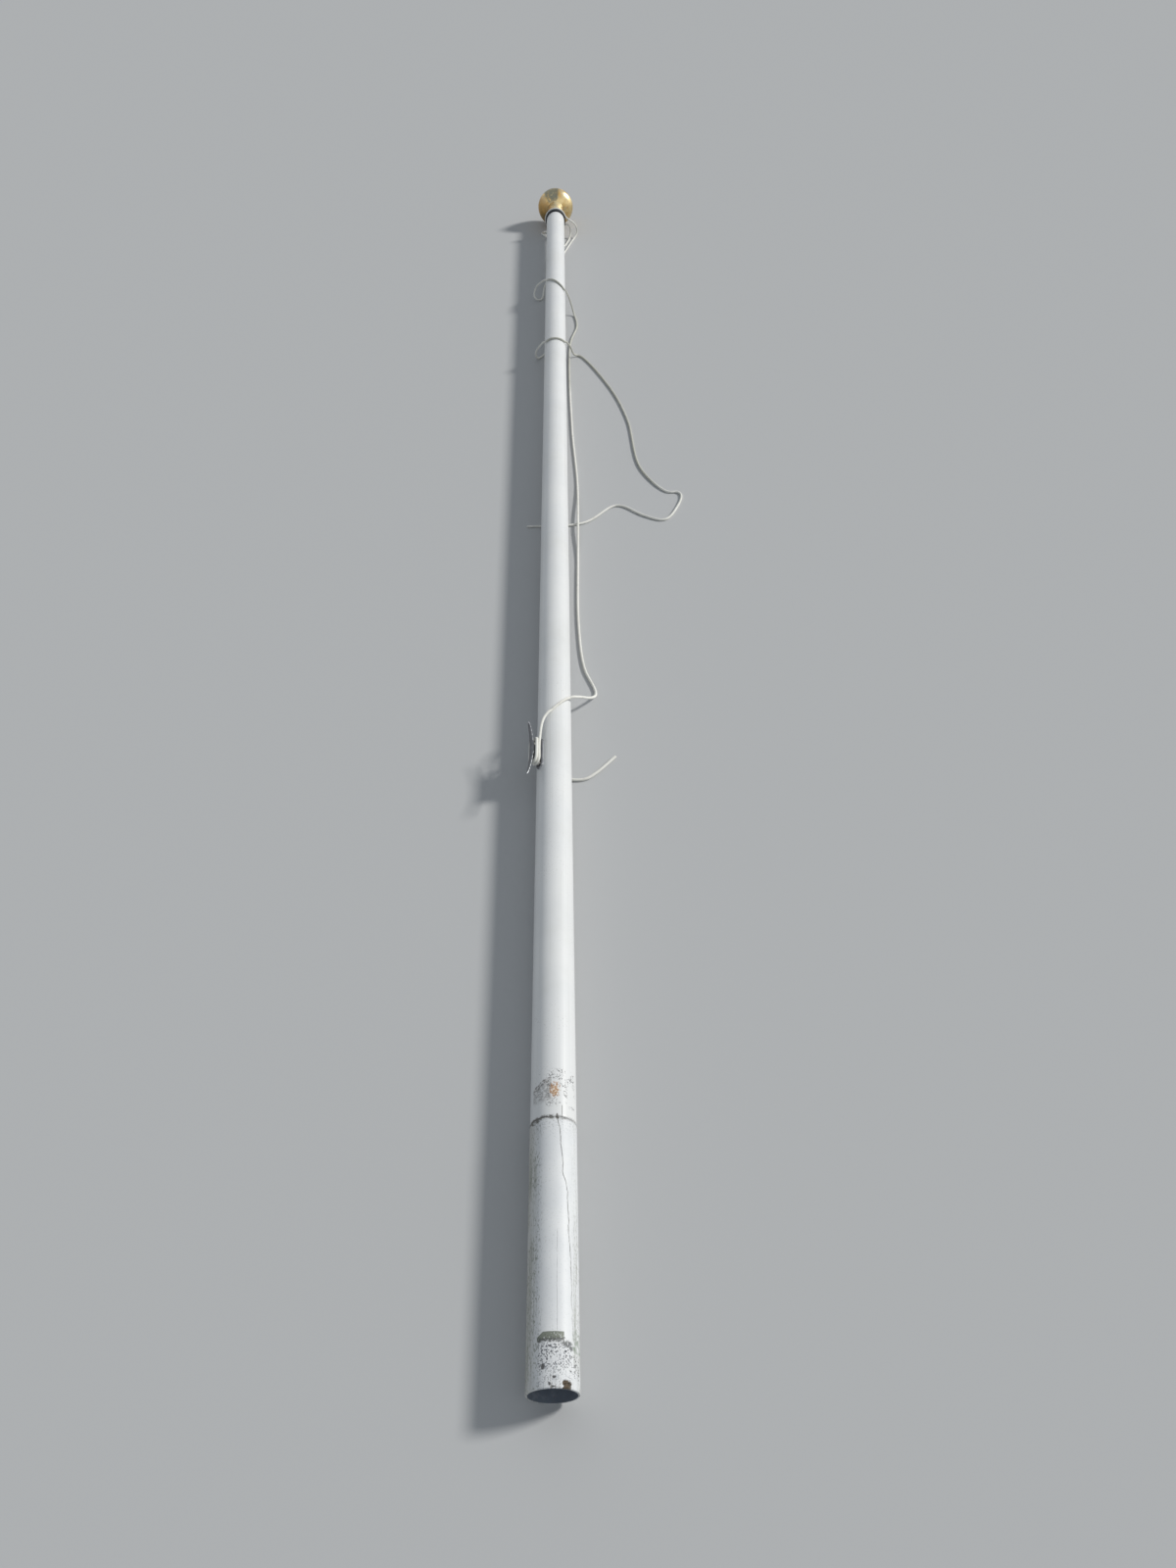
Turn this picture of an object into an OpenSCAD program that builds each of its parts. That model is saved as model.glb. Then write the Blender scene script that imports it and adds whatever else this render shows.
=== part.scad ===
// Flagpole taken down and laid on the ground: a white tubular pole in two lengths, a black
// cap with a seat for the halyard, a gold onion finial, and a cleat with the halyard made fast.
// The pole lies along +Y with its open butt at the low end; it rests on the butt and the finial.

/* [Lower tube] */
// Outside diameter of the lower tube
butt_d = 58.6; // [58:0.2:62]
// Length of the lower tube, from the open butt to the joint
butt_len = 300; // [220:10:380]
// Height of the step in its bore that the coupling stands on
butt_step = 0.4; // [0.2:0.1:1.2]
// Chamfer on the rim of the butt
butt_chamfer = 0.6; // [0.2:0.1:1]

/* [Shaft] */
// Outside diameter of the shaft
shaft_d = 58; // [56:0.2:58.8]
// Length of the shaft, from the joint to the cap
shaft_len = 3251; // [2600:10:3600]
// Wall of the shaft
shaft_wall = 2; // [1.8:0.1:2.6]
// Depth of the groove that shows at the joint
joint_groove = 0.6; // [0.3:0.1:1]
// Length along the pole of that groove
joint_groove_len = 1.4; // [0.8:0.2:3]

/* [Coupling] */
// Length of the inner coupling tube
coupling_len = 180; // [120:10:260]
// Wall of the inner coupling tube
coupling_wall = 2.5; // [1.5:0.1:4]

/* [Cap] */
// Diameter of the flange that covers the rim of the shaft
flange_d = 66; // [62:0.5:72]
// Thickness of the flange
flange_t = 11; // [8:0.5:14]
// Diameter of the seat that the halyard turns on
seat_d = 62; // [58:0.5:64]
// Length of that seat along the pole
seat_len = 7; // [6:0.5:10]
// Length of the plug inside the shaft
plug_len = 40; // [25:1:60]
// Wall of the plug
plug_wall = 4; // [3:0.5:6]
// Length of the spigot that carries the finial
spigot_len = 30; // [20:1:40]
// Radius of the rounded rim of the flange
flange_round = 2; // [1:0.5:3]

/* [Finial] */
// Greatest diameter of the finial
finial_d = 119; // [112:1:126]
// Height of the finial beyond its greatest diameter
finial_dome = 74.5; // [65:0.5:85]
// Height of the finial below its greatest diameter
finial_bowl = 38; // [34:0.5:42]
// Length of the neck below the finial
neck_len = 85; // [80:1:95]
// Outside diameter of the neck at its ends
neck_d = 52; // [50:0.5:56]
// How much the neck is drawn in at its waist
neck_waist = 1.6; // [0.5:0.1:2]
// Wall of the finial and its neck
finial_wall = 1.5; // [1:0.1:2]
// Sharpness of the dome: 2 is an ellipse, less is more pointed
dome_power = 1.5; // [1.3:0.05:2]

/* [Cleat] */
// Distance of the cleat's middle from the butt
cleat_at = 950; // [800:1:1200]
// Height of the cleat above the pole's left side, in degrees
cleat_lift = 38; // [30:1:45]
// Length of the cleat over its horns
cleat_len = 125; // [110:1:140]
// Length of the cleat's foot
foot_len = 68; // [60:1:72]
// Width of the cleat's foot
foot_w = 16; // [14:1:20]
// Thickness of the foot at its middle
foot_t = 4; // [3:0.5:4.5]
// Length of the stem between foot and horns
stem_len = 24; // [20:1:30]
// Width of the stem
stem_w = 9; // [7:0.5:9.5]
// Height of the horns' middle line above the pole
horn_up = 18; // [17.5:0.5:22]
// Width of the horns at the stem
horn_root_w = 10; // [9.8:0.2:12]
// Thickness of the horns at the stem
horn_root_t = 5.4; // [4.6:0.2:5.8]
// Width of the horns at their tips
horn_tip_w = 4.4; // [3.6:0.2:6]
// Thickness of the horns at their tips
horn_tip_t = 3.4; // [2.8:0.2:4.4]
// How far the tips bend away from the pole
horn_bow = 8; // [5:0.5:11]
// Distance of each cleat screw from the cleat's middle
screw_off = 24; // [22:1:27]
// Diameter of a cleat screw's head
screw_head_d = 8; // [7:0.5:9]
// Height of a cleat screw's head
screw_head_h = 2; // [1.6:0.2:2.4]
// Diameter of a cleat screw's shank
screw_d = 4; // [3:0.5:5]
// Length of a cleat screw's shank
screw_len = 14; // [10:1:18]

/* [Halyard] */
// Diameter of the halyard
rope_d = 5; // [4:0.5:5.5]
// Length of the turns round the cleat's stem
winding_len = 62; // [54:1:64]
// Turns of halyard laid on each other at the stem
winding_turns = 2; // [1:1:2]
// How far these turns stand off the stem
winding_slack = 1; // [0.5:0.5:2]

/* [Hidden] */

// Gap between curved faces of pieces that seat on each other
seat_gap = 0.3;
// Overrun of every cut past the face that it opens
overrun = 1;
// Sides of the round pieces, of the halyard and of the horns
$fn = 96;
rope_sides = 8;
horn_sides = 16;
horn_rings = 12;
tip_rings = 4;
small_sides = 32;
// Points along each half of the finial's outline, and along its neck
outline_steps = 14;
// Angle below the cap's right side where the halyard's turn starts, and the angle that it turns
turn_from = 35;
turn_sweep = 310;
// Angles, up from the pole's direction, at which the halyard comes to the winding and leaves it
lead_angle = 70;
tail_angle = 330;

butt_r = butt_d / 2;
shaft_r = shaft_d / 2;
shaft_bore_r = shaft_r - shaft_wall;
// Both tubes have one bore where the coupling sits; the lower one narrows to a step below it
bore_r = shaft_bore_r - butt_step;
bore_len = butt_len - coupling_len / 2;
coupling_r = shaft_bore_r - seat_gap;
pole_len = butt_len + shaft_len;
seat_r = seat_d / 2;
flange_r = flange_d / 2;
rope_r = rope_d / 2;
finial_r = finial_d / 2;
neck_r = neck_d / 2;
neck_from = pole_len + flange_t + seat_len;
finial_from = neck_from + neck_len;
// The bowl starts where its outline is as wide as the neck
bowl_cut = finial_bowl * sqrt(1 - pow(neck_r / finial_r, 2));
widest_at = finial_from + bowl_cut;
tip_at = widest_at + finial_dome;

// The pole tips up towards the finial, so that both the butt and the finial touch the ground
lie_tilt = atan((finial_r - butt_r) / widest_at);
butt_height = butt_r * cos(lie_tilt);
butt_y = (butt_r * sin(lie_tilt) - tip_at * cos(lie_tilt)) / 2;

// Radial places of the cleat, from the pole's middle line
foot_top = shaft_r + foot_t;
horn_mid = shaft_r + horn_up;
horn_half = (cleat_len - horn_tip_t) / 2;
// The winding lies just above the screw heads
winding_from = foot_top + screw_head_h + seat_gap;
winding_high = winding_turns * rope_d;
winding_mid = winding_from + winding_high / 2;
winding_w = stem_w + 2 * (rope_d + winding_slack);
// Middle line of the halyard's turn on the cap
turn_r = seat_r + seat_gap + rope_r;
turn_at = pole_len + flange_t + seat_len / 2;

// Places a piece drawn on the pole's own axis, butt at zero, where the pole lies
module lying() {
    translate([0, butt_y, butt_height]) rotate([lie_tilt - 90, 0, 0]) children();
}

// Faces a piece drawn along +X out to the cleat's side of the pole, at the cleat's middle
module at_cleat() {
    lying() translate([0, 0, cleat_at]) rotate([0, 0, 180 + cleat_lift]) children();
}

function unit(v) = v / norm(v);
function backward(v) = [for (i = [len(v) - 1:-1:0]) v[i]];
// Direction of a route at point i, halfway between its two sides
function heading(path, i) =
    i == 0 ? unit(path[1] - path[0])
    : i == len(path) - 1 ? unit(path[i] - path[i - 1])
    : unit(unit(path[i] - path[i - 1]) + unit(path[i + 1] - path[i]));
// Sideways direction carried along the route without twist
function carried(side, along) = unit(side - (side * along) * along);
function sides_along(path, side, i = 0) =
    i >= len(path) ? []
    : let(s = carried(side, heading(path, i))) concat([s], sides_along(path, s, i + 1));
function oval_at(centre, along, side, radii, n) =
    let(other = cross(along, side))
    [for (k = [0:n - 1]) centre + radii[0] * cos(360 * k / n) * side + radii[1] * sin(360 * k / n) * other];

// Bar of oval section swept along a route. Each of its points has two radii: the one that starts out
// along first_side, and the one across it.
module swept(path, radii, n, first_side) {
    m = len(path);
    sides = sides_along(path, first_side);
    points = [for (i = [0:m - 1]) each oval_at(path[i], heading(path, i), sides[i], radii[i], n)];
    walls = [for (i = [0:m - 2], k = [0:n - 1])
        let(a = i * n + k, b = i * n + (k + 1) % n) [a, a + n, b + n, b]];
    ends = [[for (k = [0:n - 1]) k], [for (k = [n - 1:-1:0]) (m - 1) * n + k]];
    polyhedron(points = points, faces = concat(walls, ends), convexity = 10);
}

module rope_along(path) {
    color("ivory") swept(path, [for (p = path) [rope_r, rope_r]], rope_sides, [0, 0, 1]);
}

// Outline of the finial at a given inset, from its neck to its tip
function bowl_outline(inset) = let(
        r = finial_r - inset, h = finial_bowl - inset, from = asin((neck_r - inset) / r))
    [for (i = [0:outline_steps])
        let(a = from + (90 - from) * i / outline_steps) [r * sin(a), widest_at - h * cos(a)]];
function dome_outline(inset) = let(r = finial_r - inset, h = finial_dome - inset)
    [for (i = [1:outline_steps])
        let(s = i / outline_steps, a = 90 * s)
        [r * pow(cos(a), 2 / dome_power), widest_at + h * pow(sin(a), 2 / dome_power)]];
// Outline of the neck, drawn in at its waist by one arch
function neck_outline(inset) = [for (i = [0:outline_steps])
    let(s = i / outline_steps)
    [neck_r - neck_waist * sin(180 * s) - inset, neck_from + neck_len * s]];

module lower_tube() {
    color("ghostwhite") lying() difference() {
        rotate_extrude() polygon([
            [0, 0], [butt_r - butt_chamfer, 0], [butt_r, butt_chamfer], [butt_r, butt_len - joint_groove_len / 2],
            [butt_r - joint_groove, butt_len - joint_groove_len / 2], [butt_r - joint_groove, butt_len], [0, butt_len]]);
        translate([0, 0, -overrun]) cylinder(r = bore_r, h = butt_len + 2 * overrun);
        translate([0, 0, bore_len]) cylinder(r = shaft_bore_r, h = butt_len);
    }
}

module coupling() {
    color("silver") lying() translate([0, 0, butt_len - coupling_len / 2]) difference() {
        cylinder(r = coupling_r, h = coupling_len);
        translate([0, 0, -overrun]) cylinder(r = coupling_r - coupling_wall, h = coupling_len + 2 * overrun);
    }
}

module shaft() {
    color("white") difference() {
        lying() translate([0, 0, butt_len]) rotate_extrude() polygon([
            [shaft_bore_r, 0], [shaft_r - joint_groove, 0], [shaft_r - joint_groove, joint_groove_len / 2],
            [shaft_r, joint_groove_len / 2], [shaft_r, shaft_len], [shaft_bore_r, shaft_len]]);
        for (side = [-1, 1]) at_cleat() translate([0, 0, side * screw_off]) rotate([0, 90, 0])
            cylinder(d = screw_d + 2 * seat_gap, h = shaft_d, $fn = small_sides);
    }
}

// Plug, flange, rope seat and finial spigot, turned in one piece
module cap() {
    color("dimgray") lying() translate([0, 0, pole_len]) rotate_extrude() {
        plug_r = shaft_bore_r - seat_gap;
        spigot_r = neck_r - finial_wall - neck_waist - seat_gap;
        top = flange_t + seat_len;
        difference() {
            union() {
                translate([0, -plug_len]) square([plug_r, plug_len]);
                square([flange_r - flange_round, flange_t]);
                translate([0, flange_round]) square([flange_r, flange_t - 2 * flange_round]);
                for (h = [flange_round, flange_t - flange_round])
                    translate([flange_r - flange_round, h]) circle(r = flange_round, $fn = small_sides);
                square([seat_r, top]);
                square([spigot_r, top + spigot_len]);
            }
            translate([0, -plug_len - overrun]) square([plug_r - plug_wall, plug_len + overrun]);
            translate([0, top]) square([spigot_r - plug_wall, spigot_len + overrun]);
            translate([-flange_d, -plug_len - overrun]) square([flange_d, plug_len + top + spigot_len + 2 * overrun]);
        }
    }
}

module finial_neck() {
    color("gold") lying() rotate_extrude() polygon(concat(
        neck_outline(0), [for (i = [outline_steps:-1:0]) neck_outline(finial_wall)[i]]));
}

// Spun shell, open at the neck
module finial() {
    inner = concat(bowl_outline(finial_wall), dome_outline(finial_wall));
    color("gold") lying() rotate_extrude() polygon(concat(
        bowl_outline(0), dome_outline(0), [for (i = [len(inner) - 1:-1:0]) inner[i]]));
}

// Middle line of the horns, from one round tip to the other, bent away from the pole
function horn_tip(side) = [for (k = [1:tip_rings])
    [horn_mid + horn_bow, 0, side * horn_half]
        + horn_tip_t / 2 * sin(90 * k / (tip_rings + 1)) * unit([2 * horn_bow, 0, side * horn_half])];
function tip_radii() = [for (k = [1:tip_rings]) [horn_tip_w, horn_tip_t] / 2 * cos(90 * k / (tip_rings + 1))];
function horn_line() = concat(backward(horn_tip(-1)), [for (i = [-horn_rings:horn_rings])
    let(s = i / horn_rings) [horn_mid + horn_bow * s * s, 0, horn_half * s]], horn_tip(1));
function horn_radii() = concat(backward(tip_radii()), [for (i = [-horn_rings:horn_rings])
    let(s = abs(i) / horn_rings, root = [horn_root_w, horn_root_t], tip = [horn_tip_w, horn_tip_t])
    (root + (tip - root) * s) / 2], tip_radii());

module cleat() {
    color("slategray") at_cleat() {
        difference() {
            // Foot with round ends and a hollow underside that beds on the pole
            union() {
                rotate([0, 90, 0]) linear_extrude(foot_top) round_bar(foot_len, foot_w);
                rotate([0, 90, 0]) linear_extrude(horn_mid) round_bar(stem_len, stem_w);
            }
            translate([0, 0, -foot_len]) cylinder(r = shaft_r + seat_gap, h = 2 * foot_len);
            for (side = [-1, 1]) translate([0, 0, side * screw_off]) rotate([0, 90, 0])
                cylinder(d = screw_d + 2 * seat_gap, h = foot_top + overrun, $fn = small_sides);
        }
        swept(horn_line(), horn_radii(), horn_sides, [0, 1, 0]);
    }
}

// Flat bar with round ends
module round_bar(long, wide) {
    square([long - wide, wide], center = true);
    for (side = [-1, 1]) translate([side * (long - wide) / 2, 0]) circle(d = wide);
}

module cleat_screw(side) {
    color("lightslategray") at_cleat() translate([foot_top, 0, side * screw_off]) rotate([0, 90, 0]) {
        cylinder(d = screw_head_d, h = screw_head_h, $fn = small_sides);
        translate([0, 0, -screw_len]) cylinder(d = screw_d, h = screw_len, $fn = small_sides);
    }
}

module cleat_screw_low() {
    cleat_screw(-1);
}

module cleat_screw_high() {
    cleat_screw(1);
}

// Turn of halyard on the cap's seat, from the right over the top and the left to the underside
module halyard_turn() {
    color("ivory") lying() translate([0, 0, turn_at])
        rotate([0, 0, turn_from]) rotate_extrude(angle = turn_sweep)
            translate([turn_r, 0]) circle(r = rope_r, $fn = small_sides);
}

// Turns of halyard round the cleat's stem, between foot and horns
module halyard_winding() {
    color("ivory") at_cleat() rotate([0, 90, 0]) translate([0, 0, winding_from])
        linear_extrude(winding_high) difference() {
            round_bar(winding_len, winding_w);
            round_bar(winding_len - 2 * rope_d, winding_w - 2 * rope_d);
        }
}

// Route of the halyard from the cap's right side to the cleat, measured along the pole from the butt
lead_route = [
    [47, 3569, 56], [62, 3574, 45], [73, 3576, 26], [72, 3571, 12], [64, 3556, 3.5], [44, 3480, 2.5],
    [-34, 3120, 2.5], [-39, 3035, 2.5], [-46, 3013, 3], [-58, 3009, 6],
    [-65, 3019, 15], [-59, 3026, 34], [-38, 2997, 64], [-22, 2973, 79.5], [-1, 2946, 87.5],
    [21, 2919, 80.5], [36, 2908, 60], [47, 2914, 29], [55, 2904, 6], [63, 2820, 2.5], [43, 2700, 2.5],
    [42, 2200, 2.5], [52, 1920, 2.5], [51, 1742, 8.5], [49, 1600, 2.5], [47, 1380, 2.5],
    [56, 1240, 2.5], [76, 1164, 3], [66, 1137, 17], [43, 1109, 43], [25, 1085, 62], [5, 1057, 71],
    [-17, 1026, 69.5]];
// Route of the free end, from the cleat under the pole to the right
tail_route = [
    [-36.5, 988, 46], [-35.5, 985, 20], [-31, 977, 6], [-23, 971, 2.5], [25, 943, 2.5],
    [52, 943, 2.5], [70, 957, 2.5], [106, 999, 2.5]];
// Route of the other side of the halyard, from the cap's underside to its free end on the left
return_route = [
    [37, 3566, 44], [47, 3568, 37], [51, 3568, 19], [48, 3555, 4.5], [37, 3505, 2.5], [28, 3476, 2.5],
    [12, 3464, 2.5], [0, 3478, 2.5], [-8, 3560, 2.5], [-20, 3598, 2.5], [-34, 3611, 2.5],
    [-47, 3602, 2.5], [-25, 3545, 2.5], [-12, 3240, 9], [-3, 3130, 2.5],
    [-28, 2632, 2.5], [-50, 2592, 6], [-53, 2575, 30], [-39, 2559, 57],
    [-22, 2548, 76], [1, 2545, 84.5], [23, 2549, 76], [39, 2566, 53], [47, 2596, 24], [54, 2613, 7],
    [65, 2619, 2.5], [78, 2604, 2.5], [150, 2405, 2.5], [184, 2238, 2.5], [206, 1985, 2.5],
    [262, 1884, 2.5], [284, 1885, 2.5], [291, 1872, 2.5], [280, 1825, 2.5], [244, 1764, 2.5],
    [202, 1780, 2.5], [142, 1824, 2.5], [62, 1748, 2.5], [-62, 1732, 2.5]];
function on_ground(route) = [for (p = route) [p.x, p.y + butt_y, p.z]];

// Where a point given from the pole's middle line lies: right, down, and along from the butt
function on_pole(x, y, along) = [x,
    butt_y + along * cos(lie_tilt) + y * sin(lie_tilt),
    butt_height + along * sin(lie_tilt) - y * cos(lie_tilt)];
// A short straight piece of halyard off an end of its turn on the cap
function off_turn(a, way) = [for (d = [seat_gap, seat_gap + rope_d])
    on_pole(turn_r * cos(a) - way * d * sin(a), turn_r * sin(a) + way * d * cos(a), turn_at)];
// A short straight piece of halyard off a round end of the winding, at an angle up from the pole
function off_winding(a) = [for (d = [seat_gap, seat_gap + rope_d])
    let(out = winding_w / 2 + d, up = out * sin(a), lift = 180 + cleat_lift,
        along = sign(cos(a)) * (winding_len - winding_w) / 2 + out * cos(a))
    on_pole(winding_mid * cos(lift) - up * sin(lift), winding_mid * sin(lift) + up * cos(lift),
        cleat_at + along)];

module halyard_lead() {
    rope_along(concat(off_turn(turn_from + turn_sweep, 1), on_ground(lead_route),
        backward(off_winding(lead_angle))));
}

module halyard_tail() {
    rope_along(concat(off_winding(tail_angle), on_ground(tail_route)));
}

module halyard_return() {
    rope_along(concat(off_turn(turn_from, -1), on_ground(return_route)));
}

lower_tube();
coupling();
shaft();
cap();
finial_neck();
finial();
cleat();
cleat_screw_low();
cleat_screw_high();
halyard_turn();
halyard_lead();
halyard_winding();
halyard_tail();
halyard_return();
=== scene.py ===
import math
from itertools import accumulate

import bpy
import numpy as np
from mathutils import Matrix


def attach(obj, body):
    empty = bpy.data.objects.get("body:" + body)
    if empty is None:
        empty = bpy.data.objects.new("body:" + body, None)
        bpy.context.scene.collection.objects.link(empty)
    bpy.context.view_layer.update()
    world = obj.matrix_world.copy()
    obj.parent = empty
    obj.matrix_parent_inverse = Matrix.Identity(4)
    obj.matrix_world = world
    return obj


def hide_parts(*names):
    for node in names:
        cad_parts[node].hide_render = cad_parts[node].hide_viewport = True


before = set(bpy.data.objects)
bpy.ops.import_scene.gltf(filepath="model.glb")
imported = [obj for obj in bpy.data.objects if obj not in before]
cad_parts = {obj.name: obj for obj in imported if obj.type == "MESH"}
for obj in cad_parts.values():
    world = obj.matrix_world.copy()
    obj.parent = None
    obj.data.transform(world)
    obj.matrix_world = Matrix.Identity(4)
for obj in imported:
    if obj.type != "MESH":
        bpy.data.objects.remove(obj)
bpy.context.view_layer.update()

# The flagpole is taken down and lies on the ground. The camera stands behind its open butt and looks
# along it. The floor is plain and pale, under one soft lamp from the upper right and a pale sky.
eye = (0.00787, -2.21564, 1.27832)
eye_turn = (44.797, -1.0221, -1.1775)
eye_lens = 24.531
camera_data = bpy.data.cameras.new("camera")
camera_data.sensor_width = 36.0
camera_data.lens = eye_lens
camera_data.clip_end = 200.0
camera = bpy.data.objects.new("camera", camera_data)
camera.location = eye
camera.rotation_euler = [math.radians(a) for a in eye_turn]
bpy.context.collection.objects.link(camera)
bpy.context.scene.camera = camera
bpy.context.scene.view_settings.view_transform = "Standard"

lamp_from = (0.857, 0.298, 0.62)
lamp_data = bpy.data.lights.new("lamp", "SUN")
lamp_data.energy = 2.45
lamp_data.angle = math.radians(9)
lamp_data.color = (1.0, 0.985, 0.95)
lamp = bpy.data.objects.new("lamp", lamp_data)
reach = math.hypot(lamp_from[0], lamp_from[1])
lamp.rotation_euler = (0, math.atan2(reach, lamp_from[2]), math.atan2(lamp_from[1], lamp_from[0]))
bpy.context.collection.objects.link(lamp)


class Wire:
    """An output of a shader's nodes. Sums on it add Math nodes, and node() adds a node of any other kind."""

    def __init__(self, tree, socket=None):
        self.tree, self.socket = tree, socket

    def node(self, kind, settings=(), sockets=(), out=0):
        """Adds one node: its settings are set first, and then the values or links of its sockets."""
        made = self.tree.nodes.new(kind)
        for name, value in dict(settings).items():
            setattr(made, name, value)
        for name, value in dict(sockets).items():
            if isinstance(value, Wire):
                self.tree.links.new(value.socket, made.inputs[name])
            else:
                made.inputs[name].default_value = value
        return Wire(self.tree, made.outputs[out])

    def maths(self, operation, *values):
        return self.node("ShaderNodeMath", {"operation": operation}, enumerate(values))

    def __add__(self, other):
        return self.maths("ADD", self, other)

    def __sub__(self, other):
        return self.maths("SUBTRACT", self, other)

    def __rsub__(self, other):
        return self.maths("SUBTRACT", other, self)

    def __mul__(self, other):
        return self.maths("MULTIPLY", self, other)

    def __truediv__(self, other):
        return self.maths("DIVIDE", self, other)

    __radd__, __rmul__ = __add__, __mul__

    def rise(self, low, high):
        """0 below low, 1 above high and a smooth slope between them; low may be the greater one."""
        return self.node("ShaderNodeMapRange", {"interpolation_type": "SMOOTHSTEP"},
                         {0: self, 1: low, 2: high})

    def between(self, low, high, soft):
        return self.rise(low - soft, low) * self.rise(high + soft, high)

    def mix(self, first, second):
        """The first colour where this wire is 0, and the second where it is 1."""
        colours = {n: c if isinstance(c, Wire) else (*c, 1.0) for n, c in ((6, first), (7, second))}
        settings = {"data_type": "RGBA", "clamp_factor": True}
        return self.node("ShaderNodeMix", settings, {0: self, **colours}, 2)

    def noise(self, scale, detail=4.0, stretch=(1, 1, 1), shift=(0, 0, 0), rough=0.55):
        """Fractal noise on this vector, which is shifted and then stretched."""
        place = self.node("ShaderNodeMapping", {}, {0: self, 1: shift, 3: stretch})
        return self.node("ShaderNodeTexNoise", {}, {"Vector": place, "Scale": scale, "Detail": detail,
                                                    "Roughness": rough})

    def bump(self, height, distance, strength):
        """A normal from a height."""
        return self.node("ShaderNodeBump", {}, {"Height": height, "Distance": distance, "Strength": strength})


def new_finish(name, **constants):
    """A material of one Principled shader with the given constant sockets: gives the material, a wire to
    build on and a function that links a wire, or sets a value, on one of the shader's sockets."""
    material = bpy.data.materials.new(name)
    material.use_nodes = True
    tree = material.node_tree
    shader = tree.nodes["Principled BSDF"]

    def feed(**sockets):
        for socket, value in sockets.items():
            target = shader.inputs[socket.replace("_", " ")]
            if isinstance(value, Wire):
                tree.links.new(value.socket, target)
            else:
                target.default_value = value

    feed(**constants)
    return material, Wire(tree), feed


# Floor: one flat, matt, pale sheet that takes the object's shadow. The sky over it lights the object
# softly, and is paler to the camera and in reflections, so that metal shows a pale surrounding.
floor_half = 60.0
floor_mesh = bpy.data.meshes.new("floor")
floor_mesh.from_pydata([(-floor_half, -floor_half, 0), (floor_half, -floor_half, 0),
                        (floor_half, floor_half, 0), (-floor_half, floor_half, 0)], [], [(0, 1, 2, 3)])
floor = bpy.data.objects.new("floor", floor_mesh)
bpy.context.collection.objects.link(floor)
floor_finish, _, feed = new_finish("floor", Roughness=1.0, Specular_IOR_Level=0.0)
feed(Base_Color=(0.55, 0.555, 0.56, 1.0))
floor_mesh.materials.append(floor_finish)

sky = bpy.data.worlds.new("sky")
bpy.context.scene.world = sky
sky.use_nodes = True
w = Wire(sky.node_tree)
seen = w.node("ShaderNodeLightPath", out=0)
mirrored = w.node("ShaderNodeLightPath", out=3)
direct = w.maths("MAXIMUM", seen, mirrored)
sky_colour = direct.mix((0.86, 0.93, 1.0), (0.86, 0.88, 0.9))
sky_strength = 0.37 + direct * 0.55
background = sky.node_tree.nodes["Background"]
sky.node_tree.links.new(sky_colour.socket, background.inputs["Color"])
sky.node_tree.links.new(sky_strength.socket, background.inputs["Strength"])


# Lower tube: glass-fibre tube under a thin white gelcoat, 300 mm long, open at the butt. It stood in the
# ground, so its foot is scuffed and stained, its rim is chipped, and one long crack runs down from the joint.
fall = math.radians(0.469146)
butt_y = -1.88115698
butt_height = 0.02929902
tube_r = 0.0293
tube_bore_r = 0.0266
socket_r = 0.0270
socket_from = 0.210
joint_at = 0.300
groove_r = 0.0287
groove_len = 0.0007
rim_chamfer = 0.0006
ring_step = 0.0010
# Angle in degrees, from the right over the top, and distance from the butt in mm, of the crack's corners
crack_marks = np.array([(41.7, 46), (45.2, 85.2), (47.1, 131.9), (52.1, 171.2), (55.1, 206.9), (65.6, 227.9),
                        (71.9, 274.8), (77.9, 297.2)])
crack_half = 0.00040
crack_depth = 0.00035
chip_angles = (49, 68)
chip_top = 0.0078
chip_depth = 0.00045
nick_depth = 0.0006
nick_lift = 0.0007
stain_half = 0.0013
tube_sides = 168


def on_pole(right, up, along):
    """Places points given from the pole's axis, with the distance from the butt last, where the pole lies."""
    return np.stack([right, butt_y + along * math.cos(fall) - up * math.sin(fall),
                     butt_height + along * math.sin(fall) + up * math.cos(fall)], axis=-1)


def wander(x, step, size, seed):
    """A smooth random curve: a cubic ease between random heights up to the size, one each step of x."""
    heights = np.random.default_rng(seed).uniform(-size, size, 4096)
    cell = np.floor(x / step)
    part = x / step - cell
    part = part * part * (3 - 2 * part)
    left = heights[cell.astype(int) % 4096]
    return left + (heights[(cell.astype(int) + 1) % 4096] - left) * part


def sheet_faces(rows, columns, closed):
    """Four-cornered faces between the rows of a grid whose columns go round. Closed joins the last row to
    the first."""
    i, j = np.meshgrid(np.arange(rows if closed else rows - 1), np.arange(columns), indexing="ij")
    near, far = i * columns, (i + 1) % rows * columns
    after = (j + 1) % columns
    return np.stack([near + j, near + after, far + after, far + j], axis=-1).reshape(-1, 4)


def put_piece(name, points, faces, material, slot, *nodes, **masks):
    """Puts a closed surface into a mesh, with its faces turned outwards, which is where the volume that
    they bound is positive, and with each mask as a value at every point. The piece rides on the pole."""
    faces = [np.asarray(f) for f in faces]
    corners = np.concatenate([f[:, [0, k, k + 1]] for f in faces for k in range(1, f.shape[1] - 1)])
    a, b, c = (points[corners[:, k]] for k in range(3))
    if np.sum(a * np.cross(b, c)) < 0:
        faces = [f[:, ::-1] for f in faces]
    mesh = bpy.data.meshes.new(name)
    mesh.from_pydata(points, [], [face for f in faces for face in f.tolist()])
    mesh.shade_smooth()
    for mask, values in masks.items():
        layer = mesh.attributes.new(mask, "FLOAT", "POINT")
        layer.data.foreach_set("value", values.astype(np.float32).ravel())
    piece = bpy.data.objects.new(name, mesh)
    bpy.context.collection.objects.link(piece)
    mesh.materials.append(material)
    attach(piece, "root")
    if nodes:
        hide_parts(*nodes)
    return piece


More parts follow.
